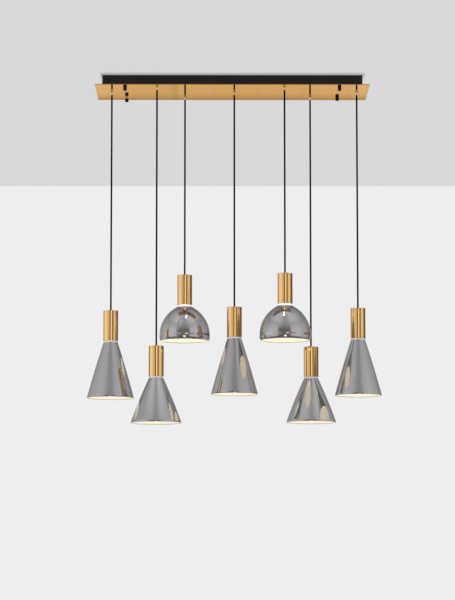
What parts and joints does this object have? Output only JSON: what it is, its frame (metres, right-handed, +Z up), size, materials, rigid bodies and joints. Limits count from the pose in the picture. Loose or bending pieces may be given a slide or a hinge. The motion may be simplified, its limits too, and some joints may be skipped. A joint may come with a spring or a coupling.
{
  "type": "cluster pendant",
  "caption": "Ceiling pendant cluster: rectangular canopy with a brass plate carrying cone and dome glass shades on straight cables with brass tube bodies.",
  "frame": {"origin": "centre of the bracket's ceiling face, at the ceiling plane", "axes": "+Z up, +X along the canopy, -Y towards the viewer"},
  "size_m": [1.021, 0.358, 1.2048],
  "materials": {
    "bracket_steel": "zinc plated",
    "black_metal": "black powder coat",
    "plate_brass": "satin polished",
    "gland_brass": "polished",
    "tube_brass": "lengthwise brushed",
    "knob_metal": "dark bronze",
    "cable_jacket": "matt black",
    "white_plastic": "moulded",
    "white_ceramic": "glazed ceramic",
    "smoked_glass": "smoked, mirror coated",
    "opal_glass": "opal white",
    "lamp_glass": "frosted, lit"
  },
  "bodies": {
    "canopy": {"ceiling_bracket": "bracket_steel", "canopy_housing": "black_metal", "canopy_plate": "plate_brass", "cable_glands": "gland_brass", "gland_lock_nuts": "bracket_steel", "terminal_block": "white_plastic", "canopy_wiring": "cable_jacket"},
    "knob_1": {"fixing_knob_1": "knob_metal"},
    "knob_2": {"fixing_knob_2": "knob_metal"},
    "knob_3": {"fixing_knob_3": "knob_metal"},
    "knob_4": {"fixing_knob_4": "knob_metal"},
    "cable_1": {"cable_1": "cable_jacket"},
    "pendant_1": {"tube_1": "tube_brass", "lamp_holder_1": "white_ceramic", "shade_outer_1": "smoked_glass", "shade_liner_1": "opal_glass", "shade_ring_1": "gland_brass", "lamp_1": "lamp_glass"},
    "cable_2": {"cable_2": "cable_jacket"},
    "pendant_2": {"tube_2": "tube_brass", "lamp_holder_2": "white_ceramic", "shade_outer_2": "smoked_glass", "shade_liner_2": "opal_glass", "shade_ring_2": "gland_brass", "lamp_2": "lamp_glass"},
    "cable_3": {"cable_3": "cable_jacket"},
    "pendant_3": {"tube_3": "tube_brass", "lamp_holder_3": "white_ceramic", "shade_outer_3": "smoked_glass", "shade_liner_3": "opal_glass", "shade_ring_3": "gland_brass", "lamp_3": "lamp_glass"},
    "cable_4": {"cable_4": "cable_jacket"},
    "pendant_4": {"tube_4": "tube_brass", "lamp_holder_4": "white_ceramic", "shade_outer_4": "smoked_glass", "shade_liner_4": "opal_glass", "shade_ring_4": "gland_brass", "lamp_4": "lamp_glass"},
    "cable_5": {"cable_5": "cable_jacket"},
    "pendant_5": {"tube_5": "tube_brass", "lamp_holder_5": "white_ceramic", "shade_outer_5": "smoked_glass", "shade_liner_5": "opal_glass", "shade_ring_5": "gland_brass", "lamp_5": "lamp_glass"},
    "cable_6": {"cable_6": "cable_jacket"},
    "pendant_6": {"tube_6": "tube_brass", "lamp_holder_6": "white_ceramic", "shade_outer_6": "smoked_glass", "shade_liner_6": "opal_glass", "shade_ring_6": "gland_brass", "lamp_6": "lamp_glass"},
    "cable_7": {"cable_7": "cable_jacket"},
    "pendant_7": {"tube_7": "tube_brass", "lamp_holder_7": "white_ceramic", "shade_outer_7": "smoked_glass", "shade_liner_7": "opal_glass", "shade_ring_7": "gland_brass", "lamp_7": "lamp_glass"}
  },
  "joints": [
    {"name": "knob_1_unscrew", "type": "slide", "parent": "canopy", "child": "knob_1", "axis": [0, 0, -1], "range_m": [0, 0.0055]},
    {"name": "knob_2_unscrew", "type": "slide", "parent": "canopy", "child": "knob_2", "axis": [0, 0, -1], "range_m": [-0.0055, 0]},
    {"name": "knob_3_unscrew", "type": "slide", "parent": "canopy", "child": "knob_3", "axis": [0, 0, -1], "range_m": [0, 0.0055]},
    {"name": "knob_4_unscrew", "type": "slide", "parent": "canopy", "child": "knob_4", "axis": [0, 0, -1], "range_m": [0, 0.0055]},
    {"name": "swing_1", "type": "hinge", "parent": "canopy", "child": "cable_1", "pos_m": [-0.421, 0, -0.048], "axis": [1, 0, 0], "range_deg": [-6, 6]},
    {"name": "tilt_1", "type": "hinge", "parent": "cable_1", "child": "pendant_1", "pos_m": [-0.421, 0, -0.8142], "axis": [0, 1, 0], "range_deg": [-6, 6]},
    {"name": "swing_2", "type": "hinge", "parent": "canopy", "child": "cable_2", "pos_m": [-0.261, -0.09, -0.048], "axis": [1, 0, 0], "range_deg": [-6, 6]},
    {"name": "tilt_2", "type": "hinge", "parent": "cable_2", "child": "pendant_2", "pos_m": [-0.261, -0.09, -0.9452], "axis": [0, 1, 0], "range_deg": [-6, 6]},
    {"name": "swing_3", "type": "hinge", "parent": "canopy", "child": "cable_3", "pos_m": [-0.166, 0.09, -0.048], "axis": [1, 0, 0], "range_deg": [-6, 6]},
    {"name": "tilt_3", "type": "hinge", "parent": "cable_3", "child": "pendant_3", "pos_m": [-0.166, 0.09, -0.6782], "axis": [0, 1, 0], "range_deg": [-6, 6]},
    {"name": "swing_4", "type": "hinge", "parent": "canopy", "child": "cable_4", "pos_m": [0.0075, 0, -0.048], "axis": [1, 0, 0], "range_deg": [-6, 6]},
    {"name": "tilt_4", "type": "hinge", "parent": "cable_4", "child": "pendant_4", "pos_m": [0.0075, 0, -0.8012], "axis": [0, 1, 0], "range_deg": [-6, 6]},
    {"name": "swing_5", "type": "hinge", "parent": "canopy", "child": "cable_5", "pos_m": [0.181, -0.09, -0.048], "axis": [1, 0, 0], "range_deg": [-6, 6]},
    {"name": "tilt_5", "type": "hinge", "parent": "cable_5", "child": "pendant_5", "pos_m": [0.181, -0.09, -0.6942], "axis": [0, 1, 0], "range_deg": [-6, 6]},
    {"name": "swing_6", "type": "hinge", "parent": "canopy", "child": "cable_6", "pos_m": [0.276, 0.09, -0.048], "axis": [1, 0, 0], "range_deg": [-6, 6]},
    {"name": "tilt_6", "type": "hinge", "parent": "cable_6", "child": "pendant_6", "pos_m": [0.276, 0.09, -0.9312], "axis": [0, 1, 0], "range_deg": [-6, 6]},
    {"name": "swing_7", "type": "hinge", "parent": "canopy", "child": "cable_7", "pos_m": [0.436, 0, -0.048], "axis": [1, 0, 0], "range_deg": [-6, 6]},
    {"name": "tilt_7", "type": "hinge", "parent": "cable_7", "child": "pendant_7", "pos_m": [0.436, 0, -0.8052], "axis": [0, 1, 0], "range_deg": [-6, 6]}
  ]
}
